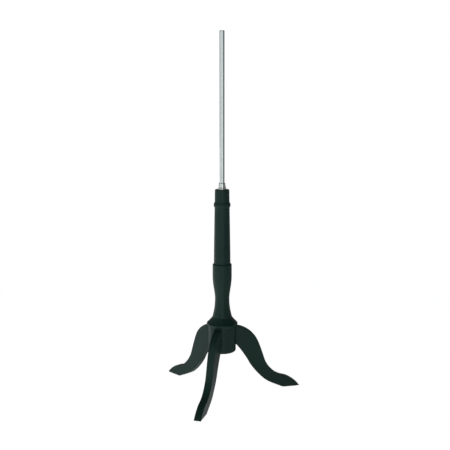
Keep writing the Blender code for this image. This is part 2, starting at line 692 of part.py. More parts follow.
def main():
    clear_scene()
    parts = new_collection("tripod_pole_stand")
    cutters = new_collection("cutters")
    stand = new_empty("stand_axis", parts)
    leg_empties = {side: new_empty(f"leg_axis_{side}", parts, stand, turn_deg=angle)
                   for side, angle in LEG_ANGLES.items()}
    slider = new_empty("pole_height_axis", parts, stand)
    swivel = new_empty("pole_swivel_axis", parts, slider)
    ring = new_empty("clamp_ring_axis", parts, stand)
    nut = new_empty("lock_nut_axis", parts, ring)

    build_column(parts, stand)
    build_collar(parts, stand)
    build_hub(parts, cutters, stand, leg_empties)
    build_legs(parts, cutters, leg_empties)
    build_leg_fixings(parts, cutters, leg_empties)
    build_center_fixings(parts, cutters, stand)
    build_pads(parts, leg_empties)
    build_socket(parts, cutters, stand)
    build_lock(parts, ring, nut)
    build_pole(parts, slider, swivel)
    center_footprint(stand, parts)


main()
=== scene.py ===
"""Looks of the painted tripod stand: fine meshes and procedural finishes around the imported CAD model."""

import math

import bmesh
import bpy
import numpy as np
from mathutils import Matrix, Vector, noise


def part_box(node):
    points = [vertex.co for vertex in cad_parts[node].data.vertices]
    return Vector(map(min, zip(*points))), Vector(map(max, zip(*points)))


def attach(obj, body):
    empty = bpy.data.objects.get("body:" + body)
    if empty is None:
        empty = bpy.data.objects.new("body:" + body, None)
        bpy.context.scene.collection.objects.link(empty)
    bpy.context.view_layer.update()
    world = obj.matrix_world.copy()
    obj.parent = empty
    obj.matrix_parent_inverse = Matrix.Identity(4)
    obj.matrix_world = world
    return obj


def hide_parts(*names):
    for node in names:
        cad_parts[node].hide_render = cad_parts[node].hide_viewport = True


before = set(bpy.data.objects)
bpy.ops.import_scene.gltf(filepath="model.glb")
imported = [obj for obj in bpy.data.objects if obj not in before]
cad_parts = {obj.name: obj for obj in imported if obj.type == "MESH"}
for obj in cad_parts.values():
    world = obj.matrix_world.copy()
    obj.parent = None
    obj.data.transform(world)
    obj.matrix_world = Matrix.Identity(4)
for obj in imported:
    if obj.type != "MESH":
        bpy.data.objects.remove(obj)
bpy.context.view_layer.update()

MM = 0.001


def low_z(node):
    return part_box(node)[0].z


def high_z(node):
    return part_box(node)[1].z


def radius(node):
    """Half the width of a node that is round about the column's axis."""
    low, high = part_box(node)
    return (high.x - low.x) / 2


pole_low, pole_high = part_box("pole_tube")
AXIS = ((pole_low.x + pole_high.x) / 2, (pole_low.y + pole_high.y) / 2)
LEG_ANGLES = {"front": -90.0, "right": 30.0, "left": 150.0}

# Sizes that the CAD model's boxes don't give
POLE_WALL = 1.2 * MM
CLEARANCE = 0.3 * MM
TENON_R = 15.0 * MM
CAVITY_R = 27.0 * MM
CAVITY_TOP_Z = high_z("center_washer") + CLEARANCE
NECK_R = 23.5 * MM
SHAFT_TOP_R = 24.5 * MM
SHAFT_LOW_R = 27.2 * MM
BEAD_R = 27.4 * MM
BEAD_Z = 635.0 * MM
BEAD_HALF_HEIGHT = 7.5 * MM
SHOULDER_Z = 438.0 * MM
BELLY_R = 31.5 * MM
BELLY_Z = 402.0 * MM
WAIST_R = 23.8 * MM
WAIST_Z = 323.0 * MM
COLUMN_FOOT_Z = high_z("collar_ring") + CLEARANCE
BORE_BOTTOM_Z = 268.0 * MM
COLLAR_NOSE_Z = 238.0 * MM
LEG_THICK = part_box("leg_front")[1].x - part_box("leg_front")[0].x
LEG_EDGE_ROUND = 2.2 * MM
LEG_TIP_R = 269.0 * MM
LEG_HEEL_R = 208.0 * MM
BOLT_Z = (low_z("leg_nut_front") + high_z("leg_nut_front")) / 2
BOLT_R = 3.0 * MM
SADDLE_THICK = 2.6 * MM
LEG_NUT_THICK = 5.0 * MM
BOLT_HEAD_HEIGHT = 5.3 * MM
FLANGE_THICK = 3.3 * MM
DOWEL_R = 4.0 * MM
CENTER_BOLT_R = 4.0 * MM
SLEEVE_R = 11.2 * MM
SOCKET_BORE_R = radius("pole_tube") + 0.24 * MM
SPIGOT_R = 10.0 * MM
NUT_TOP_R = 10.3 * MM
GROOVE_Z = 612.0 * MM
GROOVE_DEPTH = 0.5 * MM
BUSH_HOLE_R = 5.0 * MM              # through the end of the bush, under the tube
FILLET_HEIGHT = 3.2 * MM            # the square edge at the column's foot
COLLAR_NOSE = (2.4 * MM, 3.2 * MM)  # how far the collar's rim is rounded, inwards and in height
HUB_TOP_ROUND = 1.6 * MM
HUB_LOW_ROUND = 5.5 * MM
EDGE_REACH = 1.6 * MM               # how far from a corner its wear and painted edge highlight show
EDGE_WEAR_HIGHLIGHT_TURN = 60.0                    # degrees of corner at which the wear and painted edge highlight are full


# ---------------------------------------------------------------- camera, light and floor

CAMERA_AZIMUTH = 16.5               # degrees to the right of the front leg's direction
CAMERA_DISTANCE = 2.759
CAMERA_HEIGHT = 1.067
CAMERA_TILT = 10.24                 # degrees below the horizon
CAMERA_ASIDE = 0.0093               # metres to the right of the line to the column
CAMERA_LENS = 68.98
ROOM_LOW = (0.30, 0.315, 0.31)      # what the object reflects from level with it and from overhead
ROOM_HIGH = (0.060, 0.064, 0.063)
ROOM_HIGH_AT = 0.6                  # how far up the room is at its darkest
FLOOR_R = 1.7
FLOOR_GLOW = (0.33, 0.97)           # what the floor gives the object, on its dim and its bright side
GLOW_REACH = 0.42                   # metres from the middle to where each side has its full share
BRIGHT_SIDE = -60.0                 # degrees from the camera
SWEEP_GLOW = 0.93                   # what the floor adds to its own tone in the picture


def directions(azimuth, elevation=0.0):
    """Unit vectors back towards a viewer at an azimuth, and to the viewer's right."""
    turn, rise = math.radians(azimuth), math.radians(elevation)
    back = Vector((math.sin(turn) * math.cos(rise), -math.cos(turn) * math.cos(rise), math.sin(rise)))
    return back, Vector((math.cos(turn), math.sin(turn), 0.0))


def add_camera():
    back, right = directions(CAMERA_AZIMUTH)
    data = bpy.data.cameras.new("camera")
    data.lens = CAMERA_LENS
    data.sensor_width = 36.0
    camera = bpy.data.objects.new("camera", data)
    bpy.context.scene.collection.objects.link(camera)
    camera.location = Vector((*AXIS, CAMERA_HEIGHT)) + back * CAMERA_DISTANCE + right * CAMERA_ASIDE
    camera.rotation_euler = (math.radians(90.0 - CAMERA_TILT), 0.0, math.radians(CAMERA_AZIMUTH))
    bpy.context.scene.camera = camera


def area_light(name, azimuth, elevation, distance, target_z, size, power):
    """A soft panel aimed at the column, at an azimuth measured from the camera's."""
    back, _ = directions(CAMERA_AZIMUTH + azimuth, elevation)
    data = bpy.data.lights.new(name, "AREA")
    data.shape = "RECTANGLE"
    data.size, data.size_y = size
    data.energy = power
    light = bpy.data.objects.new(name, data)
    bpy.context.scene.collection.objects.link(light)
    light.location = Vector((*AXIS, target_z)) + back * distance
    light.rotation_euler = (-back).to_track_quat("-Z", "Y").to_euler()
    light.visible_camera = False


def add_world():
    """A white sweep behind the object, and a dim room that is darker overhead for what it reflects."""
    world = bpy.data.worlds.new("studio")
    bpy.context.scene.world = world
    world.use_nodes = True
    tree = world.node_tree
    tree.nodes.clear()
    out = tree.nodes.new("ShaderNodeOutputWorld")
    where = tree.nodes.new("ShaderNodeTexCoord")
    split = tree.nodes.new("ShaderNodeSeparateXYZ")
    ramp = tree.nodes.new("ShaderNodeValToRGB")
    room = tree.nodes.new("ShaderNodeBackground")
    sweep = tree.nodes.new("ShaderNodeBackground")
    mix = tree.nodes.new("ShaderNodeMixShader")
    path = tree.nodes.new("ShaderNodeLightPath")
    ramp.color_ramp.elements[0].position = 0.0
    ramp.color_ramp.elements[0].color = (*ROOM_LOW, 1.0)
    ramp.color_ramp.elements[1].position = ROOM_HIGH_AT
    ramp.color_ramp.elements[1].color = (*ROOM_HIGH, 1.0)
    tree.links.new(where.outputs["Generated"], split.inputs[0])
    tree.links.new(split.outputs["Z"], ramp.inputs[0])
    tree.links.new(ramp.outputs[0], room.inputs["Color"])
    tree.links.new(path.outputs["Is Camera Ray"], mix.inputs[0])
    tree.links.new(room.outputs[0], mix.inputs[1])
    tree.links.new(sweep.outputs[0], mix.inputs[2])
    tree.links.new(mix.outputs[0], out.inputs["Surface"])
    sweep.inputs["Color"].default_value = (1.0, 1.0, 1.0, 1.0)


def add_floor():
    """A pale disc that looks evenly white, and that lights the object more from one side than the other."""
    mesh = bpy.data.meshes.new("floor")
    bm = bmesh.new()
    bmesh.ops.create_circle(bm, cap_ends=True, segments=96, radius=FLOOR_R)
    bm.to_mesh(mesh)
    bm.free()
    floor = bpy.data.objects.new("floor", mesh)
    bpy.context.scene.collection.objects.link(floor)
    mat = bpy.data.materials.new("pale_floor")
    mat.use_nodes = True
    tree = mat.node_tree
    shader = tree.nodes["Principled BSDF"]
    shader.inputs["Base Color"].default_value = (0.5, 0.5, 0.5, 1.0)
    shader.inputs["Roughness"].default_value = 0.95
    shader.inputs["Specular IOR Level"].default_value = 0.0
    shader.inputs["Emission Color"].default_value = (1.0, 1.0, 1.0, 1.0)
    path = tree.nodes.new("ShaderNodeLightPath")
    glow = tree.nodes.new("ShaderNodeMapRange")
    glow.inputs["To Max"].default_value = SWEEP_GLOW
    bright_side, _ = directions(CAMERA_AZIMUTH + BRIGHT_SIDE)
    where = tree.nodes.new("ShaderNodeNewGeometry")
    project = tree.nodes.new("ShaderNodeVectorMath")
    project.operation = "DOT_PRODUCT"
    project.inputs[1].default_value = bright_side
    fall = tree.nodes.new("ShaderNodeMapRange")
    fall.interpolation_type = "SMOOTHSTEP"
    fall.inputs["From Min"].default_value = -GLOW_REACH
    fall.inputs["From Max"].default_value = GLOW_REACH
    fall.inputs["To Min"].default_value = FLOOR_GLOW[0]
    fall.inputs["To Max"].default_value = FLOOR_GLOW[1]
    tree.links.new(where.outputs["Position"], project.inputs[0])
    tree.links.new(project.outputs["Value"], fall.inputs["Value"])
    tree.links.new(fall.outputs["Result"], glow.inputs["To Min"])
    tree.links.new(path.outputs["Is Camera Ray"], glow.inputs["Value"])
    tree.links.new(glow.outputs["Result"], shader.inputs["Emission Strength"])
    # from below the disc is clear, so that the undersides can be seen
    side = tree.nodes.new("ShaderNodeNewGeometry")
    clear = tree.nodes.new("ShaderNodeBsdfTransparent")
    mix = tree.nodes.new("ShaderNodeMixShader")
    tree.links.new(side.outputs["Backfacing"], mix.inputs[0])
    tree.links.new(shader.outputs[0], mix.inputs[1])
    tree.links.new(clear.outputs[0], mix.inputs[2])
    tree.links.new(mix.outputs[0], tree.nodes["Material Output"].inputs["Surface"])
    mesh.materials.append(mat)


# ---------------------------------------------------------------- node helpers


class Nodes:
    """A material's node tree, with short calls for the nodes that the finishes share."""

    def __init__(self, name):
        self.material = bpy.data.materials.new(name)
        self.material.use_nodes = True
        self.tree = self.material.node_tree
        self.shader = self.tree.nodes["Principled BSDF"]

    def add(self, kind, **settings):
        node = self.tree.nodes.new(kind)
        for key, value in settings.items():
            setattr(node, key, value)
        return node

    def link(self, source, target):
        self.tree.links.new(source, target)

    def attribute(self, name, output):
        return self.add("ShaderNodeAttribute", attribute_name=name).outputs[output]

    def scaled(self, vector, scale):
        node = self.add("ShaderNodeMapping")
        node.inputs["Scale"].default_value = scale
        self.link(vector, node.inputs["Vector"])
        return node.outputs["Vector"]

    def noise(self, vector, scale, detail=3.0, rough=0.5, distortion=0.0):
        node = self.add("ShaderNodeTexNoise")
        node.inputs["Scale"].default_value = scale
        node.inputs["Detail"].default_value = detail
        node.inputs["Roughness"].default_value = rough
        node.inputs["Distortion"].default_value = distortion
        self.link(vector, node.inputs["Vector"])
        return node.outputs["Fac"]

    def noise_1d(self, value, scale, detail=2.0):
        node = self.add("ShaderNodeTexNoise", noise_dimensions="1D")
        node.inputs["Scale"].default_value = scale
        node.inputs["Detail"].default_value = detail
        self.link(value, node.inputs["W"])
        return node.outputs["Fac"]

    def remap(self, value, low, high, to_low, to_high):
        node = self.add("ShaderNodeMapRange")
        for key, number in zip(("From Min", "From Max", "To Min", "To Max"), (low, high, to_low, to_high)):
            node.inputs[key].default_value = number
        self.link(value, node.inputs["Value"])
        return node.outputs["Result"]

    def math(self, operation, a, b):
        node = self.add("ShaderNodeMath", operation=operation)
        for socket, value in zip(node.inputs, (a, b)):
            if isinstance(value, (int, float)):
                socket.default_value = value
            else:
                self.link(value, socket)
        return node.outputs[0]

    def mix_color(self, factor, a, b):
        node = self.add("ShaderNodeMix", data_type="RGBA")
        for socket, value in ((node.inputs[0], factor), (node.inputs[6], a), (node.inputs[7], b)):
            if isinstance(value, tuple):
                socket.default_value = (*value, 1.0)
            else:
                self.link(value, socket)
        return node.outputs[2]

    def bump(self, height, distance, strength=1.0, below=None):
        node = self.add("ShaderNodeBump")
        node.inputs["Distance"].default_value = distance
        node.inputs["Strength"].default_value = strength
        self.link(height, node.inputs["Height"])
        if below is not None:
            self.link(below, node.inputs["Normal"])
        return node.outputs["Normal"]

    def set(self, **values):
        for key, value in values.items():
            socket = self.shader.inputs[key.replace("_", " ")]
            if isinstance(value, tuple):
                socket.default_value = (*value, 1.0)
            elif isinstance(value, (int, float)):
                socket.default_value = value
            else:
                self.link(value, socket)


# ---------------------------------------------------------------- finishes


def paint(name, turned):
    """Satin green-black paint: wood grain and tool marks show faintly through it; edges are painted lighter,
    partly as rubbed wear and partly as a painted highlight.
    """
    n = Nodes(name)
    grain = n.attribute("grain", "Vector")
    fibres = n.noise(n.scaled(grain, (14.0, 420.0, 420.0)), 1.0, 4.0, 0.6)
    rings = n.noise(n.scaled(grain, (2.2, 70.0, 70.0)), 1.0, 2.0, 0.5, 0.6)
    cloud = n.noise(grain, 9.0, 3.0)
    peel = n.noise(grain, 620.0, 2.0)
    edge = n.remap(n.attribute("edge", "Fac"), 0.15, 0.85, 0.0, 1.0)
    # mask for the lighter edges: partly rubbed wear, partly a painted highlight on the rounded edges
    edge_wear_and_highlight = n.math("MULTIPLY", edge, n.remap(n.noise(grain, 150.0, 4.0, 0.65), 0.42, 0.66, 0.0, 1.0))
    tone = n.mix_color(n.remap(cloud, 0.3, 0.7, 0.0, 1.0), (0.0090, 0.0300, 0.0240), (0.0113, 0.0350, 0.0280))
    streaked = n.mix_color(n.remap(rings, 0.42, 0.72, 0.0, 0.5), tone, (0.0060, 0.0250, 0.0200))
    # lighter green-grey on the edges: worn paint and a painted edge highlight
    worn_and_highlit = n.mix_color(n.math("MULTIPLY", edge_wear_and_highlight, 0.45), streaked, (0.040, 0.066, 0.058))
    rough = n.remap(n.math("ADD", n.math("MULTIPLY", cloud, 0.6), n.math("MULTIPLY", fibres, 0.4)),
                    0.3, 0.7, 0.38, 0.50)
    normal = n.bump(peel, 0.05 * MM, 0.35)
    normal = n.bump(fibres, 0.06 * MM, 0.5, normal)
    normal = n.bump(rings, 0.12 * MM, 0.6, normal)
    if turned:
        run = n.attribute("run", "Fac")
        normal = n.bump(n.noise_1d(run, 900.0, 2.0), 0.06 * MM, 0.6, normal)
    n.set(Base_Color=worn_and_highlit, Roughness=rough, Normal=normal, IOR=1.45, Specular_IOR_Level=0.17,
          Coat_Weight=0.03, Coat_Roughness=0.22)
    return n.material


def chrome(name, color, rough_low, rough_high, drawn):
    """Polished plate: fine drawing or turning lines, faint haze and a few smears."""
    n = Nodes(name)
    grain = n.attribute("grain", "Vector")
    run = n.attribute("run", "Fac")
    if drawn:
        lines = n.noise(n.scaled(grain, (3.0, 1500.0, 1500.0)), 1.0, 3.0, 0.6)
    else:
        lines = n.noise_1d(run, 5200.0, 2.0)
    haze = n.noise(grain, 45.0, 4.0, 0.6)
    smear = n.noise(n.scaled(grain, (22.0, 60.0, 60.0)), 1.0, 5.0, 0.62, 0.4)
    polish = n.remap(haze, 0.35, 0.7, rough_low, rough_high)
    rough = n.math("ADD", polish, n.remap(smear, 0.52, 0.75, 0.0, 0.03))
    tone = n.mix_color(n.remap(smear, 0.5, 0.78, 0.0, 0.35), color, tuple(0.9 * c for c in color))
    n.set(Base_Color=tone, Metallic=1.0, Roughness=rough, Normal=n.bump(lines, 0.02 * MM, 0.3))
    return n.material


def steel(name, color, rough):
    """Dull metal, for zinc plate and brass: fine spangle and a slow change of tone."""
    n = Nodes(name)
    grain = n.attribute("grain", "Vector")
    spangle = n.noise(grain, 900.0, 3.0, 0.6)
    haze = n.noise(grain, 160.0, 3.0)
    tone = n.mix_color(n.remap(haze, 0.35, 0.7, 0.0, 1.0), color, tuple(0.72 * c for c in color))
    n.set(Base_Color=tone, Metallic=1.0, Roughness=n.remap(spangle, 0.3, 0.7, rough - 0.08, rough + 0.1),
          Normal=n.bump(spangle, 0.03 * MM, 0.4))
    return n.material


def bare_wood(name):
    """Unpainted beech: short flecks along the grain."""
    n = Nodes(name)
    grain = n.attribute("grain", "Vector")
    flecks = n.noise(n.scaled(grain, (60.0, 900.0, 900.0)), 1.0, 4.0, 0.6)
    bands = n.noise(n.scaled(grain, (4.0, 110.0, 110.0)), 1.0, 2.0, 0.5, 0.8)
    tone = n.mix_color(n.remap(bands, 0.35, 0.65, 0.0, 1.0), (0.40, 0.25, 0.13), (0.55, 0.38, 0.22))
    tone = n.mix_color(n.remap(flecks, 0.5, 0.7, 0.0, 0.6), tone, (0.22, 0.12, 0.055))
    n.set(Base_Color=tone, Roughness=n.remap(flecks, 0.3, 0.7, 0.62, 0.8),
          Normal=n.bump(flecks, 0.15 * MM, 0.6))
    return n.material


def nylon(name):
    n = Nodes(name)
    where = n.add("ShaderNodeTexCoord").outputs["Object"]
    mottle = n.noise(where, 220.0, 3.0)
    tone = n.mix_color(n.remap(mottle, 0.3, 0.7, 0.0, 1.0), (0.70, 0.69, 0.64), (0.78, 0.77, 0.73))
    n.set(Base_Color=tone, Roughness=n.remap(mottle, 0.3, 0.7, 0.4, 0.55), Subsurface_Weight=0.1,
          Normal=n.bump(n.noise(where, 1400.0), 0.03 * MM, 0.3))
    return n.material


def felt(name):
    """Pressed wool: fine tangled fibres and a soft sheen."""
    n = Nodes(name)
    where = n.add("ShaderNodeTexCoord").outputs["Object"]
    fibres = n.noise(where, 2200.0, 5.0, 0.7, 1.5)
    tufts = n.noise(where, 420.0, 3.0)
    tone = n.mix_color(n.remap(fibres, 0.3, 0.7, 0.0, 1.0), (0.045, 0.042, 0.040), (0.12, 0.11, 0.105))
    normal = n.bump(fibres, 0.25 * MM, 0.7, n.bump(tufts, 0.3 * MM, 0.5))
    n.set(Base_Color=tone, Roughness=0.95, Normal=normal, Sheen_Weight=0.4, Sheen_Roughness=0.5,
          Specular_IOR_Level=0.2)
    return n.material


# ---------------------------------------------------------------- outlines


def bezier(start, pull_start, pull_end, end, steps):
    """Points along a cubic curve, without its first point."""
    points = []
    for i in range(1, steps + 1):
        t = i / steps
        s = 1.0 - t
        weights = (s ** 3, 3 * s * s * t, 3 * s * t * t, t ** 3)
        corners = (start, pull_start, pull_end, end)
        points.append(tuple(sum(w * c[k] for w, c in zip(weights, corners)) for k in (0, 1)))
    return points


def arc(center, radii, start_deg, end_deg, steps):
    points = []
    for i in range(steps + 1):
        angle = math.radians(start_deg + (end_deg - start_deg) * i / steps)
        points.append((center[0] + radii[0] * math.cos(angle), center[1] + radii[1] * math.sin(angle)))
    return points


def softened(points, size, closed, steps=4, least_turn=18.0):
    """The outline with every sharp corner rounded by a small curve."""
    count = len(points)
    out = []
    for i, here in enumerate(points):
        before, after = points[i - 1], points[(i + 1) % count]
        if not closed and i in (0, count - 1):
            out.append(here)
            continue
        a = (here[0] - before[0], here[1] - before[1])
        b = (after[0] - here[0], after[1] - here[1])
        len_a, len_b = math.hypot(*a), math.hypot(*b)
        turn = abs(math.degrees(math.atan2(a[0] * b[1] - a[1] * b[0], a[0] * b[0] + a[1] * b[1])))
        if turn < least_turn:
            out.append(here)
            continue
        cut = min(size, 0.45 * len_a, 0.45 * len_b)
        start = (here[0] - a[0] / len_a * cut, here[1] - a[1] / len_a * cut)
        end = (here[0] + b[0] / len_b * cut, here[1] + b[1] / len_b * cut)
        for k in range(steps + 1):
            t = k / steps
            weights = ((1 - t) ** 2, 2 * t * (1 - t), t * t)
            out.append(tuple(sum(w * p[j] for w, p in zip(weights, (start, here, end))) for j in (0, 1)))
    return out


def divided(points, longest, closed):
    """The outline with long straight stretches cut into shorter ones."""
    count = len(points)
    out = []
    for i in range(count if closed else count - 1):
        a, b = points[i], points[(i + 1) % count]
        pieces = max(1, math.ceil(math.hypot(b[0] - a[0], b[1] - a[1]) / longest))
        out += [(a[0] + (b[0] - a[0]) * k / pieces, a[1] + (b[1] - a[1]) * k / pieces) for k in range(pieces)]
    return out if closed else out + [points[-1]]


# ---------------------------------------------------------------- mesh makers


def finish_mesh(name, bm, materials, sharp_deg=32.0):
    mesh = bpy.data.meshes.new(name)
    bm.normal_update()
    bm.to_mesh(mesh)
    bm.free()
    mesh.shade_smooth()
    mesh.set_sharp_from_angle(angle=math.radians(sharp_deg))
    for mat in materials:
        mesh.materials.append(mat)
    obj = bpy.data.objects.new(name, mesh)
    bpy.context.scene.collection.objects.link(obj)
    return obj


def set_attributes(mesh, grain, run, edge):
    vector = mesh.attributes.new("grain", "FLOAT_VECTOR", "POINT")
    vector.data.foreach_set("vector", np.asarray(grain, np.float32).ravel())
    for name, values in (("run", run), ("edge", edge)):
        layer = mesh.attributes.new(name, "FLOAT", "POINT")
        layer.data.foreach_set("value", np.asarray(values, np.float32))


def corner_share(points, closed):
    """How close each outline point is to an outward corner, from 0 to 1."""
    count = len(points)
    lengths = [math.dist(points[i], points[(i + 1) % count]) for i in range(count)]
    turns = []
    for i in range(count):
        if not closed and i in (0, count - 1):
            turns.append(0.0)
            continue
        a = np.subtract(points[i], points[i - 1])
        b = np.subtract(points[(i + 1) % count], points[i])
        turns.append(-math.degrees(math.atan2(a[0] * b[1] - a[1] * b[0], a @ b)))
    along = np.concatenate([[0.0], np.cumsum(lengths[:-1])])
    spread = np.abs(along[:, None] - along[None, :])
    weights = np.clip(1.0 - spread / EDGE_REACH, 0.0, 1.0)
    return np.clip((weights * np.array(turns)[None, :]).sum(1) / EDGE_WEAR_HIGHLIGHT_TURN, 0.0, 1.0)


UPRIGHT = (Vector((*AXIS, 0.0)), Vector((1.0, 0.0, 0.0)), Vector((0.0, 1.0, 0.0)), Vector((0.0, 0.0, 1.0)))


def outward(side, height):
    """Axes of a part that points out along a leg at a height: origin, X, Y and its own axis Z."""
    angle = math.radians(LEG_ANGLES[side])
    out = Vector((math.cos(angle), math.sin(angle), 0.0))
    up = Vector((0.0, 0.0, 1.0))
    return Vector((*AXIS, height)), up.cross(out), up, out


def threaded(outline, z_range, step):
    """The outline with its long straight runs between two heights cut into steps."""
    out = []
    for a, b in zip(outline, outline[1:] + outline[:1]):
        out.append(a)
        if abs(a[0] - b[0]) < 1e-6 and abs(a[1] - b[1]) > step:
            count = math.ceil(abs(a[1] - b[1]) / step)
            heights = [a[1] + (b[1] - a[1]) * k / count for k in range(1, count)]
            out += [(a[0], z) for z in heights if z_range[0] <= z <= z_range[1]]
    return out


def lathe(name, profile, materials, segments=128, closed=True, uneven=0.0, limit=None, soften=0.3 * MM,
          longest=4.0 * MM, inner=None, thread=None, pose=UPRIGHT):
    """A turned solid from (radius, height) points down its outer side.

    uneven is how far the surface wanders inwards. limit(angle) caps the radius, as for a
    hexagon. inner(radius, height) picks the faces of the second material. thread is
    (radius, lowest height, highest height, pitch, depth) of a helical groove.
    """
    outline = divided(softened(profile, soften, closed), longest, closed)
    if thread:
        outline = threaded(outline, thread[1:3], thread[3] / 5)
    along = [0.0]
    for a, b in zip(outline, outline[1:]):
        along.append(along[-1] + math.dist(a, b))
    sharpness = corner_share(outline, closed)
    origin, axis_x, axis_y, axis_z = pose
    bm = bmesh.new()
    grain, run, edge, rings = [], [], [], []
    for k, (r, z) in enumerate(outline):
        ring = []
        for i in range(segments if r > 1e-7 else 1):
            angle = 2 * math.pi * i / segments
            rr = r if limit is None else min(r, limit(angle))
            if uneven and r > 1e-7:
                spot = Vector((math.cos(angle) * 2.0, math.sin(angle) * 2.0, z * 45.0))
                rr -= uneven * (0.5 + 0.5 * noise.noise(spot))
            if thread and abs(r - thread[0]) < 1e-6 and thread[1] <= z <= thread[2]:
                turns = z / thread[3] - i / segments
                rr -= thread[4] * abs(2.0 * (turns - math.floor(turns)) - 1.0)
            x, y = rr * math.cos(angle), rr * math.sin(angle)
            ring.append(bm.verts.new(origin + axis_x * x + axis_y * y + axis_z * z))
            grain.append((z, x, y))
            run.append(along[k])
            edge.append(sharpness[k])
        rings.append(ring)
    pairs = list(zip(rings, rings[1:])) + ([(rings[-1], rings[0])] if closed else [])
    for k, (upper, lower) in enumerate(pairs):
        middle = ((outline[k][0] + outline[(k + 1) % len(outline)][0]) / 2,
                  (outline[k][1] + outline[(k + 1) % len(outline)][1]) / 2)
        second = 1 if inner is not None and inner(*middle) else 0
        for i in range(segments):
            j = (i + 1) % segments
            loop = [upper[i % len(upper)], lower[i % len(lower)],
                    lower[j % len(lower)], upper[j % len(upper)]]
            unique = list(dict.fromkeys(loop))
            if len(unique) > 2:
                bm.faces.new(unique).material_index = second
    obj = finish_mesh(name, bm, materials)
    set_attributes(obj.data, grain, run, edge)
    return obj


def hexagon(across_flats):
    """The distance from a hexagon's middle to its side, at an angle."""
    def reach(angle):
        return across_flats / 2 / math.cos((angle + math.pi / 6) % (math.pi / 3) - math.pi / 6)
    return reach


def drill(obj, holes):
    """Drills round holes, each given as (start, end, radius), out of a piece."""
    bm = bmesh.new()
    for start, end, hole_r in holes:
        way = end - start
        turn = way.to_track_quat("Z", "Y").to_matrix().to_4x4()
        turn.translation = (start + end) / 2
        bmesh.ops.create_cone(bm, cap_ends=True, segments=32, radius1=hole_r, radius2=hole_r,
                              depth=way.length, matrix=turn)
    mesh = bpy.data.meshes.new("drills")
    bm.to_mesh(mesh)
    bm.free()
    mesh.materials.append(obj.data.materials[-1])
    tool = bpy.data.objects.new("drills", mesh)
    bpy.context.scene.collection.objects.link(tool)
    cut = obj.modifiers.new("Bore", "BOOLEAN")
    cut.object = tool
    depsgraph = bpy.context.evaluated_depsgraph_get()
    made = bpy.data.meshes.new_from_object(obj.evaluated_get(depsgraph), preserve_all_data_layers=True,
                                           depsgraph=depsgraph)
    obj.modifiers.clear()
    spare = obj.data
    obj.data = made
    bpy.data.meshes.remove(spare)
    bpy.data.objects.remove(tool, do_unlink=True)
    bpy.data.meshes.remove(mesh)
    made.name = obj.name


def leg_holes(side):
    """The dowel and bolt holes where a leg meets the hub."""
    holes = []
    for node, wide in ((f"dowel_upper_{side}", DOWEL_R), (f"dowel_lower_{side}", DOWEL_R),
                       (f"hanger_bolt_{side}", BOLT_R)):
        origin, _, _, out = outward(side, (low_z(node) + high_z(node)) / 2)
        near, far = node_reach(node, side)
        holes.append((origin + out * (near - CLEARANCE), origin + out * (far + CLEARANCE), wide + CLEARANCE))
    return holes


def node_reach(node, side):
    """The nearest and furthest distance of a node from the column's axis, out along its leg."""
    low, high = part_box(node)
    if side == "front":
        return AXIS[1] - high.y, AXIS[1] - low.y
    half = math.sin(math.radians(LEG_ANGLES[side])) * (BOLT_R if "bolt" in node else DOWEL_R)
    reach = [(abs(x) - half) / math.cos(math.radians(30.0)) for x in (low.x, high.x)]
    return min(reach) + 2 * half / math.cos(math.radians(30.0)), max(reach)


def place(obj, body, slot, *nodes):
    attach(obj, body)
    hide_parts(*nodes)
    return obj


# ---------------------------------------------------------------- turned wood


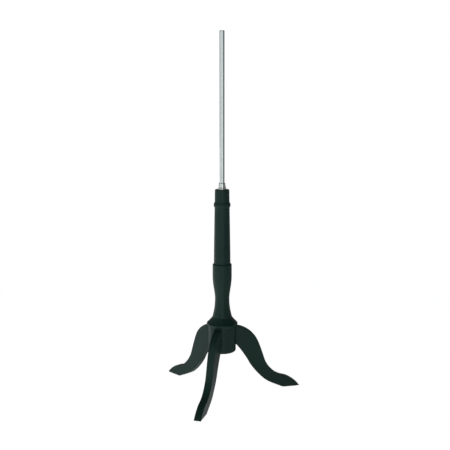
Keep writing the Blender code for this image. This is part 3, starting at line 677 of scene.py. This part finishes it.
def column_profile():
    foot = (radius("turned_column"), COLUMN_FOOT_Z)
    fillet_top = (foot[0] - 0.2 * MM, COLUMN_FOOT_Z + FILLET_HEIGHT)
    top = high_z("turned_column")
    waist = (WAIST_R, WAIST_Z)
    belly = (BELLY_R, BELLY_Z)
    shoulder = (BELLY_R - 0.3 * MM, SHOULDER_Z)
    shaft_low = (SHAFT_LOW_R, SHOULDER_Z + 5.5 * MM)
    shaft_top = (SHAFT_TOP_R, BEAD_Z - BEAD_HALF_HEIGHT - 4.0 * MM)
    bore_r = radius("pole_foot_bush") + CLEARANCE
    step_z = low_z("collet_socket") - CLEARANCE
    sleeve_r = SLEEVE_R + CLEARANCE
    profile = [(0.0, BORE_BOTTOM_Z), (bore_r, BORE_BOTTOM_Z), (bore_r, step_z), (sleeve_r, step_z)]
    profile += [(sleeve_r, top)]
    profile += arc((NECK_R - 1.5 * MM, top - 1.5 * MM), (1.5 * MM, 1.5 * MM), 90, 0, 6)
    profile += [(NECK_R + 0.5 * MM, BEAD_Z + BEAD_HALF_HEIGHT + 4.0 * MM)]
    profile += bezier(profile[-1], (NECK_R + 0.6 * MM, BEAD_Z + 10 * MM),
                      (SHAFT_TOP_R, BEAD_Z + 9.0 * MM), (SHAFT_TOP_R + 0.5 * MM, BEAD_Z + 6.6 * MM), 5)
    profile += arc((SHAFT_TOP_R, BEAD_Z), (BEAD_R - SHAFT_TOP_R, BEAD_HALF_HEIGHT), 58, -58, 16)
    profile += bezier((SHAFT_TOP_R + 0.5 * MM, BEAD_Z - 6.6 * MM), (SHAFT_TOP_R, BEAD_Z - 8.6 * MM),
                      (SHAFT_TOP_R - 0.1 * MM, BEAD_Z - 10 * MM), shaft_top, 5)
    profile += bezier(shaft_top, (25.5 * MM, 560 * MM), (26.8 * MM, 500 * MM), shaft_low, 30)
    profile += bezier(shaft_low, (SHAFT_LOW_R, SHOULDER_Z + 2 * MM),
                      (SHAFT_LOW_R + 2 * MM, SHOULDER_Z + 3.2 * MM), shoulder, 10)
    profile += bezier(shoulder, (BELLY_R, SHOULDER_Z - 8 * MM), (BELLY_R, BELLY_Z + 12 * MM), belly, 10)
    profile += bezier(belly, (BELLY_R, 365 * MM), (WAIST_R, 347 * MM), waist, 32)
    profile += bezier(waist, (WAIST_R, 302 * MM), (26.4 * MM, 284 * MM), fillet_top, 28)
    profile += [foot]
    insert_r = radius("threaded_insert") + CLEARANCE
    insert_z = high_z("threaded_insert") + CLEARANCE
    tenon_z = low_z("turned_column")
    profile += [(TENON_R, COLUMN_FOOT_Z), (TENON_R, tenon_z), (insert_r, tenon_z), (insert_r, insert_z),
                (0.0, insert_z)]
    return profile


def build_turned_wood(painted, bare):
    column = lathe("painted_column", column_profile(), [painted], segments=144, closed=False,
                   uneven=0.12 * MM, soften=0.5 * MM, longest=3.0 * MM)
    place(column, "base", "painted_wood", "turned_column")

    top = (radius("turned_column") + 0.6 * MM, high_z("collar_ring"))
    rim = radius("collar_ring")
    low = low_z("collar_ring")
    bore = TENON_R + CLEARANCE
    profile = [(bore, top[1]), top]
    nose = arc((rim - COLLAR_NOSE[0], COLLAR_NOSE_Z), COLLAR_NOSE, 50, -40, 12)
    profile += bezier(top, (35.1 * MM, 256.5 * MM), (41.7 * MM, 249.0 * MM),
                      (nose[0][0] - 0.9 * MM, nose[0][1] + 1.1 * MM), 18)
    profile += nose
    profile += [(rim - 3.6 * MM, low + 0.8 * MM), (rim - 4.6 * MM, low), (bore, low)]
    collar = lathe("painted_collar", profile, [painted], segments=160, uneven=0.08 * MM, soften=0.5 * MM,
                   longest=3.0 * MM)
    place(collar, "base", "painted_wood", "collar_ring")

    hub_r = radius("leg_hub")
    hub_low, hub_top = low_z("leg_hub"), high_z("leg_hub")
    mortise_z = low_z("turned_column") - CLEARANCE
    hole_r = CENTER_BOLT_R + CLEARANCE
    profile = [(hole_r, mortise_z), (bore, mortise_z), (bore, hub_top)]
    profile += arc((hub_r - HUB_TOP_ROUND, hub_top - HUB_TOP_ROUND), (HUB_TOP_ROUND, HUB_TOP_ROUND), 90, 0, 6)
    profile += arc((hub_r - HUB_LOW_ROUND, hub_low + HUB_LOW_ROUND), (HUB_LOW_ROUND, HUB_LOW_ROUND),
                   0, -90, 12)
    profile += [(CAVITY_R + 1.0 * MM, hub_low), (CAVITY_R, hub_low + 1.0 * MM)]
    profile += [(CAVITY_R, CAVITY_TOP_Z), (hole_r, CAVITY_TOP_Z)]
    hub = lathe("painted_hub", profile, [painted, bare], segments=160, uneven=0.08 * MM, soften=0.5 * MM,
                longest=3.0 * MM, inner=lambda r, z: r < CAVITY_R + 0.4 * MM)
    drill(hub, [hole for side in LEG_ANGLES for hole in leg_holes(side)])
    place(hub, "base", "painted_wood", "leg_hub")


# ---------------------------------------------------------------- legs

LEG_STATIONS = 140
NOSE_STATIONS = 8
NOSE_CUT = 2.8 * MM                 # how far the rounding of the toe reaches back from its corner
ROUND_STEPS = 5
EDGE_STEPS = 10
FACE_STEPS = 12
TOE_BLEND = 16.0                    # stations over which the edge's rounding grows fuller from the toe
FIT_STATIONS = 10                   # stations that shift so that the end lies on the hub
GRAIN_TILT = math.radians(-45.0)    # the grain's run, out and down along the leg
LEG_UNEVEN = 0.22 * MM
LEG_UNEVEN_SCALE = 28.0
LEG_INSET = 0.08 * MM               # keeps the surface inside the CAD model's


def leg_edge():
    """The leg's side view: out along the top, round the toe and back below, as (reach, height) points."""
    sole = low_z("leg_front")
    start = radius("leg_hub") - 10 * MM
    upper = [
        (start, 228.5 * MM, 0, 0, 31 * MM),
        (112.5 * MM, 187.5 * MM, -56.5, 26 * MM, 24 * MM),
        (145.0 * MM, 105.0 * MM, -71, 22 * MM, 20 * MM),
        (189.0 * MM, 50.5 * MM, -31, 20 * MM, 11 * MM),
        (219.0 * MM, 39.0 * MM, -16, 11 * MM, 14 * MM),
        (LEG_TIP_R, sole, -60, 17 * MM, 0),
    ]
    lower = [
        (start, 173.5 * MM, -37, 0, 22 * MM),
        (95.3 * MM, 92.3 * MM, -63, 24 * MM, 20 * MM),
        (148.5 * MM, 32.0 * MM, -36.5, 20 * MM, 22 * MM),
        (LEG_HEEL_R, sole, -27.5, 22 * MM, 0),
    ]
    rails = []
    for nodes in (upper, lower):
        points = [nodes[0][:2]]
        for a, b in zip(nodes, nodes[1:]):
            heading_a, heading_b = math.radians(a[2]), math.radians(b[2])
            pull_a = (a[0] + a[4] * math.cos(heading_a), a[1] + a[4] * math.sin(heading_a))
            pull_b = (b[0] - b[3] * math.cos(heading_b), b[1] - b[3] * math.sin(heading_b))
            points += bezier(a[:2], pull_a, pull_b, b[:2], 50)
        rails.append(points)
    rails[1] = divided(rails[1] + [(LEG_TIP_R, sole)], 1.0 * MM, False)
    rails[1] = softened(rails[1], 3.0 * MM, False, steps=6)
    hub_side = math.sqrt((radius("leg_hub") + CLEARANCE) ** 2 - (LEG_THICK / 2) ** 2)
    upper, lower = (evenly(points, hub_side, NOSE_CUT, LEG_STATIONS) for points in rails)
    tip = np.array((LEG_TIP_R, sole))
    nose = []
    for k in range(1, 2 * NOSE_STATIONS):
        t = k / (2 * NOSE_STATIONS)
        nose.append((1 - t) ** 2 * upper[-1] + 2 * t * (1 - t) * tip + t * t * lower[-1])
    return np.concatenate([upper, nose, lower[::-1]])


def evenly(points, least_reach, spare, count):
    """Evenly spaced points along a line from a reach to a little before its end."""
    points = np.array(points)
    steps = np.concatenate([[0.0], np.cumsum(np.hypot(*np.diff(points, axis=0).T))])
    first = np.interp(least_reach, points[:60, 0], steps[:60])
    wanted = np.linspace(first, steps[-1] - spare, count)
    return np.stack([np.interp(wanted, steps, points[:, k]) for k in (0, 1)], 1)


def leg_columns():
    """Across the thickness: (place, how far in from the edge, closeness to the rounding) of each line."""
    half = LEG_THICK / 2
    columns = []
    for k in range(ROUND_STEPS + 1):
        turn = math.radians(90.0 * (1 - k / ROUND_STEPS))
        columns.append((half - LEG_EDGE_ROUND * (1 - math.sin(turn)), LEG_EDGE_ROUND * (1 - math.cos(turn)),
                        math.sin(2 * turn)))
    flat = half - LEG_EDGE_ROUND
    middle = [(flat - 2 * flat * k / EDGE_STEPS, 0.0, 0.0) for k in range(1, EDGE_STEPS)]
    return columns + middle + [(-w, inset, share) for w, inset, share in reversed(columns)]


def build_leg(side, painted, bare):
    """A sawn S-shaped board with rounded edges, coped at the hub and pointed at the toe."""
    outline = leg_edge()
    tangent = np.gradient(outline, axis=0)
    tangent /= np.hypot(*tangent.T)[:, None]
    inward = np.stack([tangent[:, 1], -tangent[:, 0]], 1)
    count = len(outline)
    half_count = (count - 1) // 2
    toe_share = np.clip(1.0 - np.abs(np.arange(count) - half_count) / TOE_BLEND, 0.0, 1.0)
    origin, aside, up, out = outward(side, 0.0)
    seed = LEG_ANGLES[side]
    fit_r = radius("leg_hub") + CLEARANCE
    bm = bmesh.new()
    grain, edge = [], []

    def note_grain(reach, height, w, share):
        grain.append((reach * math.cos(GRAIN_TILT) + height * math.sin(GRAIN_TILT),
                      height * math.cos(GRAIN_TILT) - reach * math.sin(GRAIN_TILT) + seed, w))
        edge.append(share)

    def vertex(reach, height, w, share):
        scale = LEG_UNEVEN_SCALE
        wander = 0.5 + 0.5 * noise.noise(Vector((reach * scale, height * scale, w * scale + seed)))
        w *= 1.0 - LEG_UNEVEN * wander / (LEG_THICK / 2)
        note_grain(reach, height, w, share)
        return bm.verts.new(origin + out * reach + up * height + aside * w)

    belt = []
    for w, inset, share in leg_columns():
        depth = inset * (1.0 - 0.5 * toe_share) + LEG_INSET
        line = outline + inward * depth[:, None]
        for end, ahead in ((0, 1), (count - 1, -1)):
            shift = math.sqrt(fit_r ** 2 - w ** 2) - line[end][0]
            for k in range(FIT_STATIONS):
                at = end + ahead * k
                line[at] = line[at] + tangent[at] * (shift * (1 - k / FIT_STATIONS) / tangent[at][0])
        belt.append([vertex(*point, w, share) for point in line])

    def across(first, last, steps):
        """The vertices between two others, in even steps."""
        if first is last:
            return [first] * (steps + 1)
        a, b = first.co - origin, last.co - origin
        row = [first]
        for f in range(1, steps):
            spot = a.lerp(b, f / steps)
            note_grain(spot.dot(out), spot.z, spot.dot(aside), 0.0)
            row.append(bm.verts.new(origin + spot))
        return row + [last]

    def skin(rows):
        for row_a, row_b in zip(rows, rows[1:]):
            for i in range(len(row_a) - 1):
                loop = list(dict.fromkeys((row_a[i], row_a[i + 1], row_b[i + 1], row_b[i])))
                if len(loop) > 2:
                    bm.faces.new(loop)

    faces = []
    for line in (belt[0], belt[-1]):
        faces.append([across(line[k], line[count - 1 - k], FACE_STEPS) for k in range(half_count + 1)])
    cap = [faces[0][0]]
    cap += [across(line[0], line[-1], FACE_STEPS) for line in belt[1:-1]]
    cap.append(faces[1][0])
    skin(belt)
    skin(faces[0])
    skin(faces[1])
    skin(cap)
    bmesh.ops.recalc_face_normals(bm, faces=bm.faces)
    leg = finish_mesh(f"painted_leg_{side}", bm, [painted, bare])
    set_attributes(leg.data, grain, np.zeros(len(grain)), edge)
    drill(leg, leg_holes(side))
    return place(leg, "base", "painted_wood", f"leg_{side}")


# ---------------------------------------------------------------- fixings and feet


def build_leg_fixings(side, zinc, beech, felted):
    bolt = f"hanger_bolt_{side}"
    inner_r, outer_r = node_reach(bolt, side)
    root = BOLT_R - 0.45 * MM
    hub_r = radius("leg_hub")
    profile = [(0.0, outer_r), (0.6 * MM, outer_r - 0.6 * MM), (root, outer_r - 7 * MM),
               (BOLT_R, outer_r - 9 * MM), (BOLT_R, hub_r + 5 * MM), (root, hub_r + 4 * MM),
               (root, hub_r + 1 * MM), (BOLT_R, hub_r),
               (BOLT_R, inner_r + 0.7 * MM), (root, inner_r), (0.0, inner_r)]
    made = lathe(f"zinc_{bolt}", profile, [zinc], segments=32, closed=False, soften=0.1 * MM,
                 pose=outward(side, BOLT_Z), thread=(BOLT_R, inner_r, hub_r - 1 * MM, 1.0 * MM, 0.5 * MM))
    place(made, "base", "zinc_steel", bolt)

    nut = f"leg_nut_{side}"
    saddle = f"saddle_washer_{side}"
    wide = high_z(nut) - low_z(nut)
    high = CAVITY_R - CLEARANCE - SADDLE_THICK - CLEARANCE
    low = high - LEG_NUT_THICK
    corner = wide / math.sqrt(3.0)
    hole = BOLT_R + CLEARANCE
    slope = 0.9 * MM
    profile = [(hole + 0.5 * MM, high), (wide / 2 - 0.2 * MM, high), (corner + 0.1 * MM, high - slope),
               (corner + 0.1 * MM, low + slope), (wide / 2 - 0.2 * MM, low), (hole + 0.5 * MM, low),
               (hole, low + 0.5 * MM), (hole, high - 0.5 * MM)]
    made = lathe(f"zinc_{nut}", profile, [zinc], segments=72, soften=0.1 * MM, limit=hexagon(wide),
                 longest=1.0 * MM, pose=outward(side, BOLT_Z))
    place(made, "base", "zinc_steel", nut)
    place(build_saddle(saddle, side, zinc), "base", "zinc_steel", saddle)

    for level in ("upper", "lower"):
        node = f"dowel_{level}_{side}"
        near, far = node_reach(node, side)
        profile = [(0.0, far), (DOWEL_R - 1 * MM, far), (DOWEL_R, far - 1 * MM), (DOWEL_R, near + 1 * MM),
                   (DOWEL_R - 1 * MM, near), (0.0, near)]
        made = lathe(f"beech_{node}", profile, [beech], segments=60, closed=False, soften=0.2 * MM,
                     limit=lambda angle: DOWEL_R - 0.12 * MM * (1 + math.cos(15 * angle)),
                     pose=outward(side, (low_z(node) + high_z(node)) / 2))
        place(made, "base", "beech", node)
    place(build_pad(side, felted), "base", "felt", f"foot_pad_{side}")


def build_saddle(node, side, zinc):
    """A pressed washer: flat towards the nut, curved outside to sit against the cavity's wall."""
    origin, aside, up, out = outward(side, BOLT_Z)
    face = CAVITY_R - CLEARANCE
    outer = (high_z(node) - low_z(node)) / 2
    hole = BOLT_R + CLEARANCE
    rounding = 0.25 * MM
    segments, steps = 64, 8
    bm = bmesh.new()
    grain, edge, rings = [], [], []
    radii = [hole + (outer - rounding - hole) * k / steps for k in range(steps + 1)]
    curved_side = [(r, True, 0.0) for r in radii] + [(outer, True, rounding)]
    flat_side = [(outer, False, rounding)] + [(r, False, 0.0) for r in reversed(radii)]
    for r, is_curved, depth in curved_side + flat_side:
        ring = []
        for i in range(segments):
            angle = 2 * math.pi * i / segments
            side_way, rise = r * math.cos(angle), r * math.sin(angle)
            if is_curved:
                reach = math.sqrt(face ** 2 - side_way ** 2) - depth
            else:
                reach = face - SADDLE_THICK + depth
            ring.append(bm.verts.new(origin + aside * side_way + up * rise + out * reach))
            grain.append((reach, side_way, rise))
            edge.append(1.0 if r == outer else 0.0)
        rings.append(ring)
    for a, b in zip(rings, rings[1:] + rings[:1]):
        for i in range(segments):
            j = (i + 1) % segments
            bm.faces.new((a[i], b[i], b[j], a[j]))
    bmesh.ops.recalc_face_normals(bm, faces=bm.faces)
    made = finish_mesh(f"zinc_{node}", bm, [zinc])
    set_attributes(made.data, grain, np.zeros(len(grain)), edge)
    return made


def build_pad(side, felted):
    """A felt pad with rounded corners and a slightly ragged, softly rounded edge."""
    origin, aside, up, out = outward(side, 0.0)
    low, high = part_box(f"foot_pad_{side}")
    front_low, front_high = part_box("foot_pad_front")
    near, far = AXIS[1] - front_high.y, AXIS[1] - front_low.y
    half_wide = (front_high.x - front_low.x) / 2
    half_long = (far - near) / 2
    middle = origin + out * ((near + far) / 2)
    thick = high.z - low.z
    corner = 3.0 * MM
    outline = []
    for turn, (sx, sy) in enumerate(((1, 1), (-1, 1), (-1, -1), (1, -1))):
        center = (sx * (half_long - corner), sy * (half_wide - corner))
        outline += arc(center, (corner, corner), 90 * turn, 90 * turn + 90, 8)
    outline = divided(outline, 1.0 * MM, True)
    bm = bmesh.new()
    rings = []
    for inset, z in ((0.7 * MM, 0.0), (0.15 * MM, 0.25 * MM), (0.0, 0.55 * thick), (0.2 * MM, 0.9 * thick),
                     (0.8 * MM, thick)):
        ring = []
        for x, y in outline:
            wander = noise.noise(Vector((x, y, z)) * 900.0 + Vector((0.0, 0.0, LEG_ANGLES[side])))
            pulled = inset + 0.25 * MM * (0.5 + 0.5 * wander)
            along = out * (x * (1 - pulled / half_long))
            across = aside * (y * (1 - pulled / half_wide))
            ring.append(bm.verts.new(middle + along + across + up * z))
        rings.append(ring)
    count = len(outline)
    for a, b in zip(rings, rings[1:]):
        for i in range(count):
            j = (i + 1) % count
            bm.faces.new((a[i], a[j], b[j], b[i]))
    bm.faces.new(rings[0])
    bm.faces.new(rings[-1])
    bmesh.ops.recalc_face_normals(bm, faces=bm.faces)
    return finish_mesh(f"felt_pad_{side}", bm, [felted], sharp_deg=60.0)


def build_center_fixings(zinc, brass):
    low, high = low_z("threaded_insert"), high_z("threaded_insert")
    outer = radius("threaded_insert")
    hole = CENTER_BOLT_R + CLEARANCE
    profile = [(hole, high), (outer - 0.6 * MM, high), (outer, high - 1.2 * MM), (outer, low), (hole, low)]
    made = lathe("brass_insert", profile, [brass], segments=64, soften=0.15 * MM,
                 thread=(outer, low + 1 * MM, high - 2 * MM, 2.5 * MM, 0.9 * MM))
    place(made, "base", "brass", "threaded_insert")

    low, high = low_z("center_washer"), high_z("center_washer")
    outer = radius("center_washer")
    profile = [(hole, high), (outer, high), (outer, low), (hole, low)]
    made = lathe("zinc_washer", profile, [zinc], segments=80, soften=0.4 * MM, longest=2.0 * MM)
    place(made, "base", "zinc_steel", "center_washer")

    low, high = low_z("center_bolt"), high_z("center_bolt")
    flats = 2 * radius("center_bolt")
    corner = flats / math.sqrt(3.0) + 0.1 * MM
    head_top = low + BOLT_HEAD_HEIGHT
    dish = 0.5 * MM
    profile = [(0.0, high), (CENTER_BOLT_R - 0.7 * MM, high), (CENTER_BOLT_R, high - 0.8 * MM),
               (CENTER_BOLT_R, head_top), (corner, head_top), (corner, low + 1.0 * MM),
               (flats / 2 - 0.5 * MM, low), (flats / 2 - 1.6 * MM, low), (flats / 2 - 2.2 * MM, low + dish),
               (0.0, low + dish)]
    made = lathe("zinc_center_bolt", profile, [zinc], segments=72, closed=False, soften=0.12 * MM,
                 longest=1.2 * MM, limit=hexagon(flats),
                 thread=(CENTER_BOLT_R, head_top + 9 * MM, high, 1.25 * MM, 0.7 * MM))
    place(made, "base", "zinc_steel", "center_bolt")


# ---------------------------------------------------------------- pole and lock


def build_pole(chromed, capped):
    low, high = low_z("pole_tube"), high_z("pole_tube")
    outer = radius("pole_tube")
    inner = outer - POLE_WALL
    groove = outer - GROOVE_DEPTH
    profile = [(inner, high), (outer, high), (outer, GROOVE_Z + 2.8 * MM), (groove, GROOVE_Z + 2.2 * MM),
               (groove, GROOVE_Z - 2.2 * MM), (outer, GROOVE_Z - 2.8 * MM), (outer, low + 0.6 * MM),
               (outer - 0.4 * MM, low), (inner, low)]
    tube = lathe("chrome_tube", profile, [chromed], segments=96, soften=0.25 * MM, longest=12.0 * MM)
    place(tube, "pole", "pole_chrome", "pole_tube")

    low, high = low_z("pole_top_plug"), high_z("pole_top_plug")
    rim = 1.1 * MM
    stem = inner - CLEARANCE
    step = high_z("pole_tube") + CLEARANCE
    profile = [(0.0, high), (outer - 2.4 * MM, high - 0.08 * MM)]
    profile += arc((outer - rim, high - rim - 0.1 * MM), (rim, rim), 80, 0, 8)
    profile += [(outer, step), (stem, step), (stem, low + 1 * MM), (stem - 1 * MM, low), (0.0, low)]
    plug = lathe("chrome_plug", profile, [capped], segments=96, closed=False, soften=0.12 * MM,
                 longest=2.0 * MM)
    place(plug, "pole", "pole_chrome", "pole_top_plug")


def build_lock(machined, brass):
    low, high = low_z("lock_nut"), high_z("lock_nut")
    ring_low, ring_high = low_z("clamp_ring"), high_z("clamp_ring")
    bottom_r = radius("lock_nut")
    top_r = NUT_TOP_R
    spigot = SPIGOT_R
    ring_bore = SOCKET_BORE_R + 0.1 * MM
    throat = ring_bore + 0.1 * MM
    skirt = spigot + 0.4 * MM
    profile = [(throat, high), (top_r - 1.3 * MM, high), (top_r - 0.3 * MM, high - 0.5 * MM),
               (top_r, high - 1.3 * MM), (bottom_r - 0.9 * MM, low + 5.2 * MM),
               (bottom_r - 0.9 * MM, low + 4.4 * MM), (bottom_r, low + 4.0 * MM), (bottom_r, low + 0.5 * MM),
               (bottom_r - 0.5 * MM, low), (skirt, low), (skirt, ring_low + 1.6 * MM),
               (throat, ring_high + 0.7 * MM)]
    nut = lathe("chrome_lock_nut", profile, [machined], segments=180, soften=0.15 * MM, longest=2.0 * MM)
    place(nut, "lock_nut", "lock_chrome", "lock_nut")

    profile = [(ring_bore, ring_high), (ring_bore + 0.5 * MM, ring_high),
               (spigot - 0.5 * MM, ring_low + 1.3 * MM), (spigot - 0.5 * MM, ring_low + 0.3 * MM),
               (spigot - 0.8 * MM, ring_low), (ring_bore, ring_low)]
    ring = lathe("brass_clamp_ring", profile, [brass], segments=96, soften=0.12 * MM)
    place(ring, "clamp_ring", "brass", "clamp_ring")


def build_socket(machined):
    """Collet: sleeve inside the column, flange on its top and thread above; the nut hides its slots."""
    low, high = low_z("collet_socket"), high_z("collet_socket")
    column_top = high_z("turned_column")
    flange_low = column_top + CLEARANCE
    flange_top = flange_low + FLANGE_THICK
    flange_r = radius("collet_socket")
    profile = [(SOCKET_BORE_R, high), (SPIGOT_R - 1.2 * MM, high), (SPIGOT_R, high - 1.4 * MM),
               (SPIGOT_R, flange_top), (flange_r - 0.7 * MM, flange_top), (flange_r, flange_top - 0.7 * MM),
               (flange_r, flange_low + 0.4 * MM),
               (flange_r - 0.4 * MM, flange_low), (SLEEVE_R, flange_low), (SLEEVE_R, low + 1 * MM),
               (SLEEVE_R - 1 * MM, low), (SOCKET_BORE_R, low)]
    socket = lathe("chrome_collet", profile, [machined], segments=96, soften=0.18 * MM, longest=4.0 * MM,
                   thread=(SPIGOT_R, flange_top + 1 * MM, high - 1.5 * MM, 1.25 * MM, 0.6 * MM))
    return place(socket, "base", "lock_chrome", "collet_socket")


def build_bush(white):
    low, high = low_z("pole_foot_bush"), high_z("pole_foot_bush")
    outer = radius("pole_foot_bush")
    bore_r = radius("pole_tube") + CLEARANCE
    seat = low_z("pole_tube") - CLEARANCE
    ridge = radius("pole_tube") - GROOVE_DEPTH + CLEARANCE
    profile = [(bore_r, high), (outer - 0.8 * MM, high), (outer, high - 0.8 * MM), (outer, low + 1.5 * MM),
               (outer - 1.5 * MM, low), (BUSH_HOLE_R, low), (BUSH_HOLE_R, seat), (bore_r, seat),
               (bore_r, GROOVE_Z - 1.5 * MM), (ridge, GROOVE_Z - 1.0 * MM), (ridge, GROOVE_Z + 1.0 * MM),
               (bore_r, GROOVE_Z + 1.5 * MM)]
    bush = lathe("nylon_bush", profile, [white], segments=80, soften=0.15 * MM)
    place(bush, "pole_slider", "nylon", "pole_foot_bush")


# ---------------------------------------------------------------- build


def main():
    bpy.context.scene.view_settings.view_transform = "Standard"
    add_camera()
    add_world()
    area_light("key_left", azimuth=-62.0, elevation=8.0, distance=2.5, target_z=0.9,
               size=(2.2, 2.2), power=13.0)
    area_light("strip_left", azimuth=-120.0, elevation=0.0, distance=1.5, target_z=0.35,
               size=(0.4, 0.7), power=1.8)
    area_light("fill_front", azimuth=2.0, elevation=0.0, distance=3.3, target_z=1.05,
               size=(2.2, 2.1), power=20.0)
    add_floor()

    turned_paint = paint("paint_turned", turned=True)
    sawn_paint = paint("paint_sawn", turned=False)
    beech = bare_wood("bare_beech")
    felted = felt("wool_felt")
    zinc = steel("zinc_plate", (0.46, 0.47, 0.48), 0.36)
    brass = steel("turned_brass", (0.62, 0.44, 0.18), 0.30)
    drawn_chrome = chrome("chrome_drawn", (0.58, 0.645, 0.635), 0.14, 0.17, drawn=True)
    turned_chrome = chrome("chrome_turned", (0.56, 0.61, 0.60), 0.16, 0.24, drawn=False)

    build_turned_wood(turned_paint, beech)
    for side in LEG_ANGLES:
        build_leg(side, sawn_paint, beech)
        build_leg_fixings(side, zinc, beech, felted)
    build_center_fixings(zinc, brass)
    build_pole(drawn_chrome, turned_chrome)
    build_lock(turned_chrome, brass)
    build_socket(turned_chrome)
    build_bush(nylon("natural_nylon"))


main()
